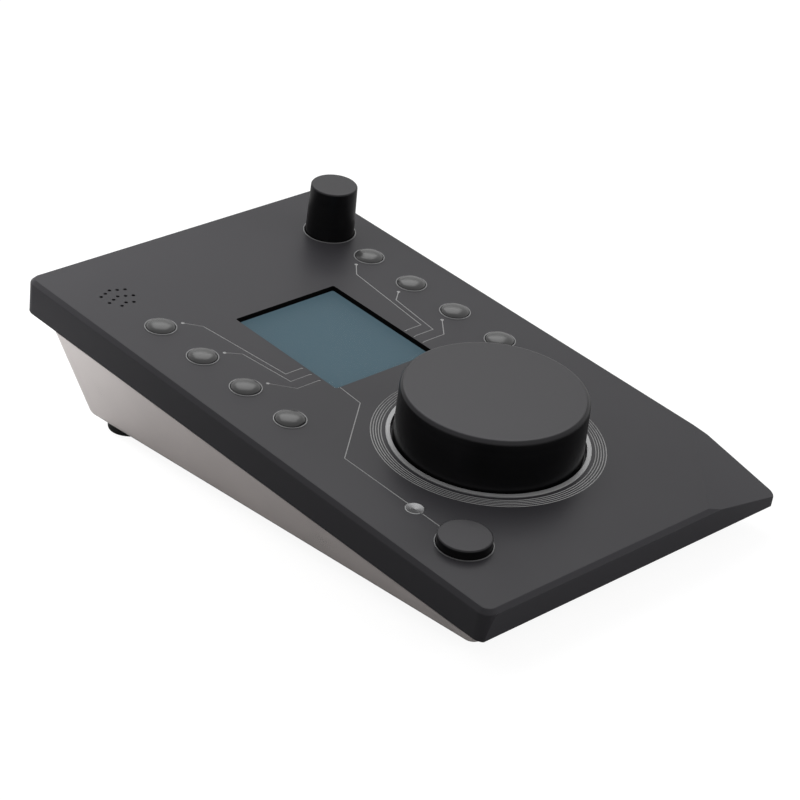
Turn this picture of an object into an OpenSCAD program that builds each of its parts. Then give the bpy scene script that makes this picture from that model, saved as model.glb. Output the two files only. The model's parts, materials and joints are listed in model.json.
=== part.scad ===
// Desk remote control for audio gear: a tilted metal top plate with a large volume knob, a small
// select knob, a talk button, eight domed buttons and a screen, on a leaning-sided metal base.
// X runs across, Y from the front to the rear, Z up. The origin is on the ground, under the middle.
// The plate and all that is fixed to it are drawn in the panel frame: Y along the plate from its
// front edge, Z out of its top face. The base's floor, feet and sockets are drawn level.

/* [Top plate] */
// Width of the top plate
plate_w = 140; // [136:1:146]
// Depth of the top plate, along its slope
plate_d = 245.5; // [242:0.5:252]
// Slope of the top plate
tilt = 9.2; // [8:0.1:10]
// Thickness of the plate over its pocket
plate_t = 4; // [3.8:0.1:4.4]
// Thickness of the skirt round the pocket
skirt_wall = 3; // [2.6:0.1:3.4]
// Height of the skirt at the front edge
skirt_front = 12; // [11.6:0.1:12.6]
// Height of the skirt at the rear edge
skirt_rear = 13.5; // [13:0.1:14]
// Corner radius of the plate, seen from above
corner_r = 4.8; // [4:0.1:6]
// Bevel round the top edge
edge_chamfer = 1.5; // [1:0.1:1.8]
// How far the front face leans back at its lower edge
front_undercut = 1.3; // [0.8:0.1:1.6]

/* [Corner facet] */
// Length of the facet along the front edge
facet_x = 35; // [30:1:37]
// Length of the facet along the right edge
facet_y = 39; // [34:1:42]
// Depth of the facet at the corner
facet_drop = 7.4; // [6.4:0.1:7.8]

/* [Base] */
// Distance from the plate's front edge to the base
base_front = 4.2; // [3.8:0.1:5]
// Length of the plate that overhangs the rear wall
rear_overhang = 15.5; // [14:0.5:17]
// Depth of the base below the skirt at the front edge
base_drop = 4.3; // [4.2:0.1:5.2]
// Lean of the side walls
side_lean = 20.6; // [18:0.1:22]
// Lean of the front wall
front_lean = 22.8; // [18:0.1:26]
// Radius of the base's lower edges
base_round = 5.5; // [5:0.1:6.5]
// Thickness of the base's walls
base_wall = 2.2; // [2:0.1:2.5]

/* [Feet] */
// Radius of a foot
foot_r = 9.8; // [9:0.1:10.5]
// Height of a foot
foot_h = 4.1; // [3.8:0.1:5]
// Distance of the feet from the plate's side edges
foot_side = 26.2; // [25:0.1:28]
// Distance of the front feet from the plate's front edge
foot_front = 38; // [36:1:44]
// Distance of the rear feet from the rear wall
foot_rear_gap = 13.4; // [12.5:0.1:15]

/* [Volume knob] */
// Distance of the knob's axis from the plate's front edge
volume_y = 73; // [71:0.5:75]
// Radius of the knob at its foot
volume_r = 32.9; // [31:0.1:33.4]
// How much smaller that radius is under the knob's rounded top edge
volume_taper = 0.4; // [0:0.1:2]
// Height of the knob above the plate
volume_h = 19.7; // [18:0.1:22]
// Radius of the knob's top edge
volume_edge = 1.6; // [1:0.1:2.5]
// Gap between the knob and its well
volume_gap = 0.9; // [0.6:0.1:1.2]
// Width of the bare-metal ring round the well
volume_ring_w = 1.6; // [1:0.1:1.7]
// Height of that ring above the plate
volume_ring_rise = 0.45; // [0.2:0.05:0.8]
// Depth of the wells under the knobs
well_depth = 2; // [1.8:0.1:2.1]

/* [Engraving] */
// Number of engraved rings
ring_count = 5; // [3:1:6]
// Distance from the bare-metal ring to the first engraved ring
ring_gap = 1.5; // [1:0.1:2]
// Distance from ring to ring
ring_pitch = 0.9; // [0.7:0.05:0.95]
// Width of an engraved line
line_w = 0.35; // [0.25:0.05:0.5]
// Depth of the engraving
line_depth = 0.15; // [0.1:0.05:0.3]
// Radius of the dot at the button's end of a line
dot_r = 0.65; // [0.5:0.05:0.8]
// Radius of the dot at the screen's end of a line
end_dot_r = 0.4; // [0.3:0.05:0.5]

/* [Select knob] */
// Distance of the knob's axis from the plate's right edge
select_side = 20; // [18:0.5:21]
// Distance of the knob's axis from the plate's rear edge
select_rear = 30.8; // [29.5:0.1:32.5]
// Radius of the knob at its foot
select_r = 9.4; // [9:0.1:10]
// How much smaller that radius is under the knob's rounded top edge
select_taper = 0.5; // [0:0.1:1]
// Height of the knob above the plate
select_h = 20; // [18:0.5:24]
// Radius of the knob's top edge
select_edge = 0.6; // [0.4:0.1:1.2]
// Push travel of the knob
select_travel = 0.5; // [0.3:0.1:0.8]

/* [Talk button] */
// Distance of the button's axis from the plate's left edge
talk_side = 20.3; // [19:0.1:22]
// Distance of the button's axis from the plate's front edge
talk_y = 32.3; // [31:0.1:34]
// Radius of the button
talk_r = 9.2; // [8.6:0.1:9.8]
// Height of the button above the plate
talk_h = 3.4; // [2.6:0.1:5]
// Push travel of the button
talk_travel = 1.2; // [0.8:0.1:1.4]

/* [Domed buttons] */
// Distance of the two columns from the plate's side edges
button_side = 20.3; // [19.5:0.1:21.5]
// Distance of the rearmost buttons from the plate's rear edge
button_rear = 54.3; // [53.5:0.1:55.5]
// Distance from button to button
button_pitch = 24; // [23:0.5:24.5]
// Radius of a button
button_r = 5.3; // [5:0.1:5.6]
// Height of the dome
button_dome = 1.7; // [1.2:0.1:2.4]
// Push travel of a button
button_travel = 0.6; // [0.4:0.1:0.8]
// Gap between a button and its hole
button_gap = 0.2; // [0.15:0.05:0.3]
// Width of the bare-metal rings round the small holes
small_ring_w = 0.4; // [0.3:0.05:0.6]
// Height of those rings above the plate
small_ring_rise = 0.2; // [0.1:0.05:0.3]

/* [Display] */
// Width of the window
window_w = 46.7; // [44:0.1:48]
// Depth of the window
window_d = 55.5; // [52:0.5:57]
// Distance of the window's middle from the plate's front edge
window_y = 153.6; // [152:0.1:155]
// Corner radius of the window
window_r = 0.8; // [0.5:0.1:1.5]
// Depth of the lens under the plate's top face
lens_depth = 2.1; // [1.8:0.1:2.3]
// Thickness of the lens
lens_t = 1.5; // [1.2:0.1:1.6]

/* [Grille and disc] */
// Radius of a grille hole
grille_r = 0.7; // [0.5:0.05:0.9]
// Distance from grille hole to grille hole
grille_pitch = 2.67; // [2.4:0.01:2.8]
// Radius of the turned-metal disc
disc_r = 3.35; // [3:0.05:4]
// Distance of the disc from the plate's front edge
disc_y = 55.9; // [55:0.1:58]

/* [Socket] */
// Distance of the network socket from the middle
network_x = 0; // [-6:1:6]

/* [Hidden] */
$fn = 96;
SIDES = ["left", "right"];
BUTTON_ROWS = [1, 2, 3, 4];

// Cuts run past the faces that they open by this much.
overrun = 1;
// Gap round a piece that drops into a cut-out.
seat_gap = 0.1;
// Radial gap of a turning shaft in its bushing.
shaft_gap = 0.05;
// Gap between a flat end face and the piece that it nearly touches.
face_gap = 0.05;
// Radial gap of a cap or a jack in its opening.
panel_gap = 0.25;
// Gap between a turning or pressed piece and a fixed one that it faces.
end_gap = 0.5;

// Frames
front_reach = edge_chamfer * sin(tilt);
rear_reach = plate_d * cos(tilt) + skirt_rear * sin(tilt);
mid_y = (front_reach + rear_reach) / 2;
floor_depth = skirt_front + base_drop;
lift = foot_h + floor_depth * cos(tilt);
slope = tan(tilt);
rim_angle = atan((skirt_rear - skirt_front) / plate_d);
base_rear = plate_d - rear_overhang;
rear_wall_y = base_rear * cos(tilt) + rim_depth(base_rear) * sin(tilt) - mid_y;
base_inner_z = foot_h + base_wall;
side_k = tan(side_lean);
front_k = tan(front_lean);
half_w = plate_w / 2;
reach = plate_w + plate_d;
foot_x = half_w - foot_side;
select_x = half_w - select_side;
select_y = plate_d - select_rear;
talk_x = half_w - talk_side;
button_x = half_w - button_side;
button_y = plate_d - button_rear;

// Screws: thread radius, head radius and head height
screw_r = 1.5;
screw_head_r = 2.7;
screw_head_h = 1.7;
screw_bite = 5;
screw_gap = 0.1;
driver_r = 1.1;
driver_depth = 0.9;

// Display
lens_lip = 3;
module_margin = 3;
module_foot = 10.5;
module_w = window_w + 2 * module_margin;
module_d = window_d + module_foot;
module_t = 3.2;
module_shift = 3;
bracket_t = 1;
bracket_rim = 7;
display_boss_r = 2.6;
display_boss_gap = 1.5;
display_boss_x = module_w / 2 + display_boss_gap + display_boss_r;
display_boss_y = window_d / 2;
bracket_margin = 3.5;
bracket_w = 2 * (display_boss_x + bracket_margin);
bracket_d = 2 * (display_boss_y + bracket_margin);
DISPLAY_PLACES = [for (i = [-1, 1]) for (j = [-1, 1]) [i * display_boss_x, window_y + j * display_boss_y]];
ribbon_w = 20;
ribbon_t = 0.3;
ribbon_run = 9;

// Case screws: their places on the panel, beside the screen's bosses at the rear, and their heads' seats
case_front_side = 40;
case_front_y = 16;
case_rear_gap = 4.5;
case_boss_r = 4;
case_boss_end = 9;
case_column_r = 4.5;
case_seat = 13;
case_front_x = half_w - case_front_side;
case_rear_x = display_boss_x + display_boss_r + case_column_r + case_rear_gap;
case_rear_y = button_y - button_pitch / 2;
CASE_PLACES = [for (side = [-1, 1]) each
    [[side * case_front_x, case_front_y], [side * case_rear_x, case_rear_y]]];

// Control board
board_top = 12;
board_t = 1.6;
board_side_gap = 3;
board_end_gap = 4;
board_front = 22;
board_w = plate_w - 2 * (skirt_wall + board_side_gap);
board_d = base_rear - skirt_wall - board_end_gap - board_front;
board_boss_r = 3.2;
board_inset = 4;
board_row_shares = [0.15, 0.42, 0.9];
BOARD_PLACES = [for (side = [-1, 1]) for (share = board_row_shares)
    [side * (board_w / 2 - board_inset), board_front + share * board_d]];
board_hole_gap = 0.8;

// Rings: depth of the small ones' seats, and the share of a ring's width that each bevel takes
small_ring_depth = 1.2;
ring_bevel_share = 0.08;

// Volume encoder
encoder_r = 13;
encoder_end = board_top - face_gap;
bushing_r = 4.5;
bushing_rise = 2.5;
shaft_r = 3;
shaft_foot = 10;
washer_r = 7.5;
washer_t = 0.5;
nut_r = 7;
nut_t = 2;
knob_foot = 1.2;
knob_wall = 4;
knob_crown = 5.2;
knob_boss_r = 7.5;
insert_r = 5;
insert_foot = bushing_rise + end_gap;
insert_length = 12;
insert_end = 1;

// Select encoder
select_body_w = 12;
select_bushing_r = 3.5;
select_bushing_rise = 2;
select_gap = 0.4;
select_foot = 0.6;
select_washer_r = 5.5;
select_washer_t = 0.4;
select_nut_r = 5.2;
select_nut_t = 1.6;
select_wall = 2;
select_pocket_h = 3.5;
select_insert_r = 4.6;
select_insert_length = 11;
select_shaft_foot = 8;
select_plunger_r = 3.4;
select_plunger_t = 0.8;
plunger_room = 1;

// Talk button and its switch
cap_flange_t = 1.1;
cap_flange_rise = 0.15;
talk_flange_w = 1.4;
talk_edge = 0.6;
talk_wall = 2.2;
talk_crown = 2;
talk_stem_r = 2.5;
talk_switch_w = 12;
talk_switch_h = 4;
stem_bite = 1.6;
stem_gap = 0.2;

// Domed buttons and their switches
button_rise = 0.15;
button_flange_w = 1.1;
button_stem_r = 1.6;
switch_w = 6;
switch_h = 3.5;
dome_r = (button_r * button_r + button_dome * button_dome) / (2 * button_dome);
BUTTON_PLACES = [for (side = [-1, 1]) for (row = BUTTON_ROWS)
    [side * button_x, button_y - (row - 1) * button_pitch]];

// Microphone behind the grille, and the grille's bent rows
grille_side = 20.1;
grille_rear = 30.2;
grille_x = half_w - grille_side;
grille_y = plate_d - grille_rear;
grille_row_pitch = 5.04;
grille_bend = 1.14;
GRILLE_HALVES = [1, 2, 2];
cloth_r = 8;
cloth_t = 0.25;
boot_r = 7.5;
capsule_r = 4.85;
capsule_h = 4.6;
capsule_sink = 0.3;

// Turned-metal disc
disc_t = 0.8;
disc_rim = 0.35;
disc_dish = 0.3;
disc_rise = 0.05;

// Engraved rings round the volume knob
first_ring_r = volume_r + volume_gap + volume_ring_w + ring_gap;

// Engraved lines on the left side. Each runs from a dot beside a button to a dot beside the screen,
// with its bends at shares of that span.
line_gap = 8.3;
line_drop = 2;
line_end_gap = 1.25;
line_end_rise = 7.3;
line_end_pitch = 4.75;
window_front = window_y - window_d / 2;
bend_shares = [
    [[0.29, 0.125], [0.55, 1]],
    [[0.29, 0.15], [0.45, 1]],
    [[0.39, 1]]
];
BUTTON_LINES = [for (i = [0 : len(bend_shares) - 1]) bent_line(
    [-button_x + line_gap, button_y - i * button_pitch - line_drop],
    [-window_w / 2 - line_end_gap, window_front + line_end_rise + (len(bend_shares) - 1 - i) * line_end_pitch],
    bend_shares[i])];
talk_line_inset = 1.75;
talk_bend_shares = [[0.025, 0.175], [1, 0.525]];
TALK_LINE = bent_line([-window_w / 2 + talk_line_inset, window_front], [-talk_x, disc_y + disc_r],
                      talk_bend_shares);
DISC_LINE = [[-talk_x, disc_y - disc_r], [-talk_x, talk_y + talk_r]];

// Feet
foot_edge = 1.2;
foot_boss_r = 3.5;
foot_boss_h = 5;
foot_sink = 2.3;
foot_front_y = foot_front * cos(tilt) + (floor_depth + foot_front * slope) * sin(tilt) - mid_y;
foot_rear_y = rear_wall_y - foot_rear_gap;

// Ballast, between the front feet and the rear case screws
ballast_side = 22;
ballast_front_gap = 41;
ballast_rear_gap = 4.5;
ballast_t = 4;
ballast_z = base_inner_z + face_gap;
ballast_boss_r = 4;
ballast_boss_gap = 0.3;
ballast_head_r = 5.5;
ballast_inset = 10;
ballast_w = plate_w - 2 * ballast_side;
ballast_front = foot_front_y + ballast_front_gap;
ballast_d = case_rear_y * cos(tilt) - mid_y - ballast_rear_gap - ballast_front;
ballast_y = ballast_front + ballast_d / 2;
BALLAST_PLACES = [for (i = [-1, 1]) for (j = [-1, 1])
    [i * (ballast_w / 2 - ballast_inset), ballast_y + j * (ballast_d / 2 - ballast_inset)]];

// Connector board and its network jack
con_w = 44;
con_d = 36;
con_t = 1.6;
con_gap = 1.5;
con_boss_r = 3;
con_boss_h = 3.5;
con_inset = 4;
con_z = base_inner_z + con_boss_h;
con_y = rear_wall_y - base_wall - con_gap - con_d / 2;
CON_PLACES = [for (i = [-1, 1]) for (j = [-1, 1])
    [network_x + i * (con_w / 2 - con_inset), con_y + j * (con_d / 2 - con_inset)]];
jack_sink = 0.3;
network_w = 16;
network_d = 21.3;
network_h = 13.4;
network_port_w = 11.8;
network_port_h = 8.2;
network_port_d = 13;
network_port_z = 1.6;
latch_w = 6.2;
latch_h = 2;

// Cable between the two boards
cable_w = 16;
cable_t = 1;
plug_w = 20;
plug_d = 5;
plug_h = 6;
cable_sink = 1;
cable_y = con_y - con_d / 2 + con_inset;
cable_rear = 52;
cable_panel_y = base_rear - cable_rear;

// Depth of the skirt's lower edge at a place along the plate.
function rim_depth(y) = skirt_front + (skirt_rear - skirt_front) * y / plate_d;

// A line with its bends at shares of the span from its first point to its last.
function bent_line(first, last, shares) =
    let (span = last - first)
    [first, for (share = shares) first + [share[0] * span[0], share[1] * span[1]], last];

// Offset of a path's point to one side, with a mitre at each bend.
function unit(v) = v / norm(v);
function normal(v) = [-v[1], v[0]];
function bend_offset(a, b) = (normal(a) + normal(b)) / (1 + a * b);
function path_side(path, half) = [
    for (i = [0 : len(path) - 1])
        let (before = unit(i > 0 ? path[i] - path[i - 1] : path[1] - path[0]),
             after = unit(i < len(path) - 1 ? path[i + 1] - path[i] : path[i] - path[i - 1]))
        path[i] + half * bend_offset(before, after)
];
function reversed(list) = [for (i = [len(list) - 1 : -1 : 0]) list[i]];

module on_panel() {
    translate([0, -mid_y, lift]) rotate([tilt, 0, 0]) children();
}

module at_places(places) {
    for (place = places) translate([place[0], place[1], 0]) children();
}

module both_sides() {
    children();
    mirror([1, 0, 0]) children();
}

module rounded_rect(w, d, r) {
    square([w - 2 * r, d], center = true);
    square([w, d - 2 * r], center = true);
    for (i = [-1, 1]) for (j = [-1, 1]) translate([i * (w / 2 - r), j * (d / 2 - r)]) circle(r);
}

// A cylinder and a box from z = low to z = high.
module column(r, low, high) {
    translate([0, 0, low]) cylinder(r = r, h = high - low);
}

module block(w, d, low, high) {
    translate([-w / 2, -d / 2, low]) cube([w, d, high - low]);
}

// A pan-head screw with its head below z = 0 and its shank above, and a hexagon socket in the head.
module pan_screw(length, head_r = screw_head_r) {
    difference() {
        union() {
            column(screw_r, -screw_head_h, length);
            column(head_r, -screw_head_h, 0);
        }
        translate([0, 0, -screw_head_h - overrun]) cylinder(r = driver_r, h = driver_depth + overrun, $fn = 6);
    }
}

// A turned knob with a rounded top edge, open below.
module knob_body(foot_r, top_r, low, high, edge) {
    rotate_extrude() {
        polygon([[0, low], [foot_r, low], [top_r, high - edge], [top_r - edge, high - edge],
                 [top_r - edge, high], [0, high]]);
        translate([top_r - edge, high - edge]) intersection() {
            circle(edge);
            square(edge);
        }
    }
}

// A round hole in the plate's top face, with the seat of the ring that lines its mouth.
module ringed_hole(r, depth, ring_w, ring_depth) {
    column(r, -depth, overrun);
    column(r + ring_w + face_gap, -ring_depth, overrun);
}

// The bare-metal ring round a hole, with its top edges bevelled.
module trim_ring(r, w, depth, rise) {
    bevel = w * ring_bevel_share;
    rotate_extrude() translate([r, 0])
        polygon([[0, -depth], [w, -depth], [w, rise - bevel], [w - bevel, rise], [bevel, rise],
                 [0, rise - bevel]]);
}

// Top plate
module chamfered_slab(w, d, h, r, c) {
    translate([0, d / 2, -h]) linear_extrude(h - c) rounded_rect(w, d, r);
    translate([0, d / 2, -c]) {
        rotate([90, 0, 0]) translate([0, 0, -d / 2 + r]) linear_extrude(d - 2 * r)
            polygon([[-w / 2, 0], [w / 2, 0], [w / 2 - c, c], [-w / 2 + c, c]]);
        rotate([90, 0, 90]) translate([0, 0, -w / 2 + r]) linear_extrude(w - 2 * r)
            polygon([[-d / 2, 0], [d / 2, 0], [d / 2 - c, c], [-d / 2 + c, c]]);
        for (i = [-1, 1]) for (j = [-1, 1])
            translate([i * (w / 2 - r), j * (d / 2 - r), 0]) cylinder(r1 = r, r2 = r - c, h = c);
    }
}

// Everything above the slanted facet at the front right corner.
module facet_cut(sink = 0) {
    crease_angle = atan2(facet_y, facet_x);
    crease_distance = facet_x * facet_y / norm([facet_x, facet_y]);
    dip = atan(facet_drop / crease_distance);
    translate([half_w - edge_chamfer - facet_x, edge_chamfer, -sink])
        rotate([0, 0, crease_angle]) rotate([dip, 0, 0]) translate([-reach / 2, -reach, 0]) cube(reach);
}

// Everything below the skirt's lower edge, or above it.
module below_rim() {
    translate([0, 0, -skirt_front]) rotate([-rim_angle, 0, 0])
        translate([-reach / 2, -reach / 2, -reach]) cube([reach, 2 * reach, reach]);
}

module above_rim() {
    translate([0, 0, -skirt_front]) rotate([-rim_angle, 0, 0])
        translate([-reach / 2, -reach / 2, 0]) cube([reach, 2 * reach, reach]);
}

module front_undercut_cut() {
    translate([0, 0, -edge_chamfer]) rotate([atan(front_undercut / (skirt_front - edge_chamfer)), 0, 0])
        translate([-reach / 2, -reach, -reach]) cube(reach);
}

module plate_pocket() {
    pocket_front = skirt_wall + front_undercut;
    pocket_d = base_rear - skirt_wall - pocket_front;
    pocket_w = plate_w - 2 * skirt_wall;
    difference() {
        translate([0, pocket_front + pocket_d / 2, -skirt_rear - overrun])
            linear_extrude(skirt_rear + overrun - plate_t) rounded_rect(pocket_w, pocket_d, skirt_wall);
        facet_cut(plate_t);
        at_places(CASE_PLACES) column(case_boss_r, -case_boss_end, 0);
        at_places(BOARD_PLACES) column(board_boss_r, -board_top, 0);
        at_places(DISPLAY_PLACES) column(display_boss_r, -plate_t - module_t, 0);
    }
}

module engraved_path(path) {
    translate([0, 0, -line_depth]) linear_extrude(line_depth + overrun)
        polygon(concat(path_side(path, line_w / 2), reversed(path_side(path, -line_w / 2))));
}

module engraved_line(path) {
    engraved_path(path);
    translate([path[0][0], path[0][1], 0]) column(dot_r, -line_depth, overrun);
    end = path[len(path) - 1];
    translate([end[0], end[1], 0]) column(end_dot_r, -line_depth, overrun);
}

module engraving() {
    both_sides() for (path = BUTTON_LINES) engraved_line(path);
    engraved_path(TALK_LINE);
    engraved_path(DISC_LINE);
    translate([0, volume_y, -line_depth]) rotate_extrude()
        for (i = [0 : ring_count - 1])
            translate([first_ring_r + i * ring_pitch - line_w / 2, 0])
                square([line_w, line_depth + overrun]);
}

module grille_holes() {
    for (row = [0 : len(GRILLE_HALVES) - 1])
        for (i = [-GRILLE_HALVES[row] : GRILLE_HALVES[row]])
            translate([-grille_x + i * grille_pitch,
                       grille_y + (row - 1) * grille_row_pitch - (abs(i) - 1) * grille_bend, 0])
                column(grille_r, -plate_t - overrun, overrun, $fn = 24);
}

module screw_holes(places, low, bite) {
    at_places(places) column(screw_r, -low - overrun, -low + bite);
}

module top_plate() {
    color("#4c4b4f") on_panel() difference() {
        chamfered_slab(plate_w, plate_d, skirt_rear, corner_r, edge_chamfer);
        below_rim();
        facet_cut();
        front_undercut_cut();
        plate_pocket();
        translate([0, volume_y, 0]) {
            ringed_hole(volume_r + volume_gap, well_depth, volume_ring_w, well_depth);
            column(bushing_r + seat_gap, -plate_t - overrun, 0);
        }
        translate([select_x, select_y, 0]) {
            ringed_hole(select_r + select_gap, well_depth, small_ring_w, small_ring_depth);
            column(select_bushing_r + seat_gap, -plate_t - overrun, 0);
        }
        translate([-talk_x, talk_y, 0])
            ringed_hole(talk_r + panel_gap, plate_t + overrun, small_ring_w, small_ring_depth);
        at_places(BUTTON_PLACES)
            ringed_hole(button_r + button_gap, plate_t + overrun, small_ring_w, small_ring_depth);
        translate([0, window_y, -plate_t - overrun]) {
            linear_extrude(plate_t + 2 * overrun) rounded_rect(window_w, window_d, window_r);
            linear_extrude(plate_t + overrun - lens_depth)
                rounded_rect(window_w + 2 * lens_lip, window_d + 2 * lens_lip, window_r);
        }
        grille_holes();
        translate([-talk_x, disc_y, 0]) column(disc_r + seat_gap, -disc_t, overrun);
        engraving();
        screw_holes(CASE_PLACES, case_boss_end, screw_bite);
        screw_holes(BOARD_PLACES, board_top, screw_bite);
        screw_holes(DISPLAY_PLACES, plate_t + module_t, screw_bite);
    }
}

// Base shell: a hull round eight balls, whose centres on the right side are given in the panel frame
ball_r = base_round;
front_s = sqrt(1 + front_k * front_k);
side_s = sqrt(1 + side_k * side_k);
function ball_x(rise) = half_w + side_k * rise - ball_r * side_s;
function ball_place(y, z) = [ball_x(z + rim_depth(y)), y, z];
ball_rise = base_round;
low_rear_y = (base_rear + slope * (rim_depth(base_rear) - floor_depth + ball_r / cos(tilt))
              - ball_r / cos(tilt)) * cos(tilt) * cos(tilt);
low_front_y = (base_front + front_k * (base_drop - ball_r / cos(tilt)) + ball_r * front_s)
              / (1 - front_k * slope);
function low_z(y) = -floor_depth - slope * y + ball_r / cos(tilt);
BALLS = [
    ball_place(low_rear_y, low_z(low_rear_y)),
    ball_place(low_front_y, low_z(low_front_y)),
    ball_place(base_rear + slope * ball_rise - ball_r / cos(tilt), -rim_depth(base_rear) + ball_rise),
    ball_place(base_front - front_k * ball_rise + ball_r * front_s, -skirt_front + ball_rise)
];

module base_hull(r) {
    hull() both_sides() for (place = BALLS) translate(place) sphere(r, $fn = 32);
}

// The base's cavity, open at the top, less the columns and bosses that stand in it.
module base_cavity() {
    difference() {
        on_panel() base_hull(ball_r - base_wall);
        on_panel() at_places(CASE_PLACES) column(case_column_r, -reach, -case_boss_end);
        at_places(BALLAST_PLACES) column(ballast_boss_r, 0, ballast_z + ballast_t);
        at_places(CON_PLACES) column(con_boss_r, 0, con_z);
        both_sides() for (y = [foot_front_y, foot_rear_y])
            translate([foot_x, y, 0]) column(foot_boss_r, 0, foot_h + foot_boss_h);
    }
}

module base_shell() {
    color("#b9aea6") difference() {
        on_panel() difference() {
            base_hull(ball_r);
            above_rim();
        }
        base_cavity();
        on_panel() at_places(CASE_PLACES) {
            column(screw_r + screw_gap, -reach, 0);
            column(screw_head_r + panel_gap, -reach, -case_seat);
        }
        at_places(BALLAST_PLACES) column(screw_r, foot_h + base_wall / 2, ballast_z + ballast_t + overrun);
        at_places(CON_PLACES) column(screw_r, foot_h + base_wall / 2, con_z + overrun);
        both_sides() for (y = [foot_front_y, foot_rear_y])
            translate([foot_x, y, 0]) column(screw_r, 0, foot_h + foot_boss_h - base_wall / 2);
        translate([network_x, rear_wall_y, con_z + con_t - panel_gap])
            block(network_w + 2 * panel_gap, 2 * (base_wall + overrun), 0, network_h + 2 * panel_gap);
    }
}

module case_screws() {
    color("#c8c8c8") on_panel() at_places(CASE_PLACES) translate([0, 0, -case_seat])
        pan_screw(case_seat - case_boss_end + screw_bite - seat_gap);
}

// Feet
module foot(side, y) {
    color("#151515") translate([side * foot_x, y, 0]) difference() {
        rotate_extrude() difference() {
            union() {
                translate([0, foot_edge]) square([foot_r, foot_h - foot_edge]);
                square([foot_r - foot_edge, foot_edge]);
                translate([foot_r - foot_edge, foot_edge]) circle(foot_edge);
            }
            translate([-foot_r, 0]) square([foot_r, foot_h]);
        }
        column(screw_r + screw_gap, -overrun, foot_h + overrun);
        column(screw_head_r + panel_gap, -overrun, foot_sink);
    }
}

module foot_screws() {
    color("#c8c8c8") both_sides() for (y = [foot_front_y, foot_rear_y])
        translate([foot_x, y, foot_sink]) pan_screw(foot_h - foot_sink + foot_boss_h / 2);
}

// Ballast
module ballast_plate() {
    color("#6d7075") difference() {
        translate([0, ballast_y, 0]) block(ballast_w, ballast_d, ballast_z, ballast_z + ballast_t);
        at_places(BALLAST_PLACES) column(ballast_boss_r + ballast_boss_gap, 0, lift);
    }
}

module ballast_screws() {
    color("#c8c8c8") at_places(BALLAST_PLACES) translate([0, 0, ballast_z + ballast_t])
        mirror([0, 0, 1]) pan_screw(ballast_t, ballast_head_r);
}

// Display
module display_lens() {
    color("#5a6e79") on_panel() translate([0, window_y, -lens_depth - lens_t]) linear_extrude(lens_t)
        rounded_rect(window_w + 2 * (lens_lip - seat_gap), window_d + 2 * (lens_lip - seat_gap), window_r);
}

module display_module() {
    color("#9aa0a6") on_panel() translate([0, window_y - module_shift, 0])
        block(module_w, module_d, -plate_t - module_t, -plate_t);
}

module display_bracket() {
    back = -plate_t - module_t;
    color("#a8a8a8") on_panel() difference() {
        translate([0, window_y, back - bracket_t]) linear_extrude(bracket_t) difference() {
            rounded_rect(bracket_w, bracket_d, bracket_rim / 2);
            rounded_rect(module_w - bracket_rim, bracket_d - 2 * bracket_rim, bracket_rim / 2);
        }
        at_places(DISPLAY_PLACES) column(screw_r + screw_gap, back - bracket_t - overrun, back + overrun);
    }
}

module display_screws() {
    color("#c8c8c8") on_panel() at_places(DISPLAY_PLACES) translate([0, 0, -plate_t - module_t - bracket_t])
        pan_screw(bracket_t + screw_bite - seat_gap);
}

// The flexible ribbon leaves the module's front edge, turns over and comes back onto the board.
module display_ribbon() {
    turn_top = -plate_t - module_t / 2;
    turn_r = (turn_top + board_top) / 2;
    module_front = window_y - module_shift - module_d / 2;
    color("#b06a2c") on_panel() rotate([90, 0, 90]) translate([0, 0, -ribbon_w / 2]) linear_extrude(ribbon_w)
        translate([module_front - turn_r, turn_top - turn_r]) {
            difference() {
                circle(turn_r);
                circle(turn_r - ribbon_t);
                translate([0, -turn_r - overrun]) square(2 * (turn_r + overrun));
            }
            translate([0, turn_r - ribbon_t]) square([turn_r, ribbon_t]);
            translate([0, -turn_r]) square([ribbon_run, ribbon_t]);
        }
}

// Boards
module control_board() {
    color("#1f5a36") on_panel() difference() {
        translate([0, board_front + board_d / 2, 0]) block(board_w, board_d, -board_top - board_t, -board_top);
        at_places(CASE_PLACES) column(case_column_r + board_hole_gap, -reach, 0);
        at_places(BOARD_PLACES) column(screw_r + screw_gap, -reach, 0);
    }
}

module board_screws() {
    color("#c8c8c8") on_panel() at_places(BOARD_PLACES) translate([0, 0, -board_top - board_t])
        pan_screw(board_t + screw_bite - seat_gap);
}

module connector_board() {
    color("#1f5a36") difference() {
        translate([network_x, con_y, 0]) block(con_w, con_d, con_z, con_z + con_t);
        at_places(CON_PLACES) column(screw_r + screw_gap, 0, lift);
    }
}

module connector_screws() {
    color("#c8c8c8") at_places(CON_PLACES) translate([0, 0, con_z + con_t])
        mirror([0, 0, 1]) pan_screw(con_t + con_boss_h);
}

module network_jack() {
    back = rear_wall_y - jack_sink;
    low = con_z + con_t;
    color("#8f9499") translate([network_x, back, 0]) difference() {
        translate([0, -network_d / 2, 0]) block(network_w, network_d, low, low + network_h);
        block(network_port_w, 2 * network_port_d, low + network_port_z, low + network_port_z + network_port_h);
        block(latch_w, 2 * network_port_d, low + network_port_z,
              low + network_port_z + network_port_h + latch_h);
    }
}

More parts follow.
